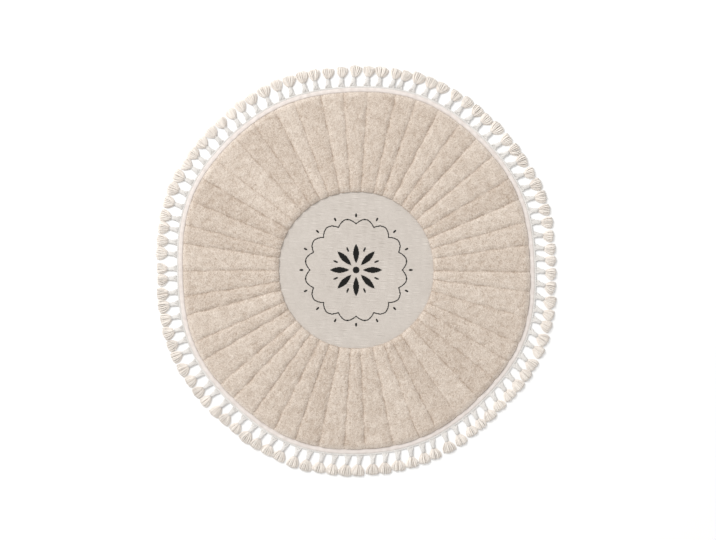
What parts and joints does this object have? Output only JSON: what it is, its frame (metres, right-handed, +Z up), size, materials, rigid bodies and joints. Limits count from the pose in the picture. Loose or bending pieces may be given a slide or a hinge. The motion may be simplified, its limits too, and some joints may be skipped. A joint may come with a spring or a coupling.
{
  "type": "kids rug",
  "caption": "Round kids rug with a flat-woven middle, deep pile carved into sunray ribs, a bound edge and a fringe of tied tassels.",
  "frame": {"origin": "middle of the underside, on the floor", "axes": "+Z up out of the pile, +Y towards the top of the picture, +X towards its right"},
  "size_m": [1.3039, 1.3393, 0.017],
  "materials": {
    "pile_yarn": "matte",
    "binding_tape": "matte",
    "fringe_yarn": "matte"
  },
  "bodies": {
    "root": {"rug": "pile_yarn", "binding": "binding_tape", "fringe": "fringe_yarn"}
  },
  "joints": []
}
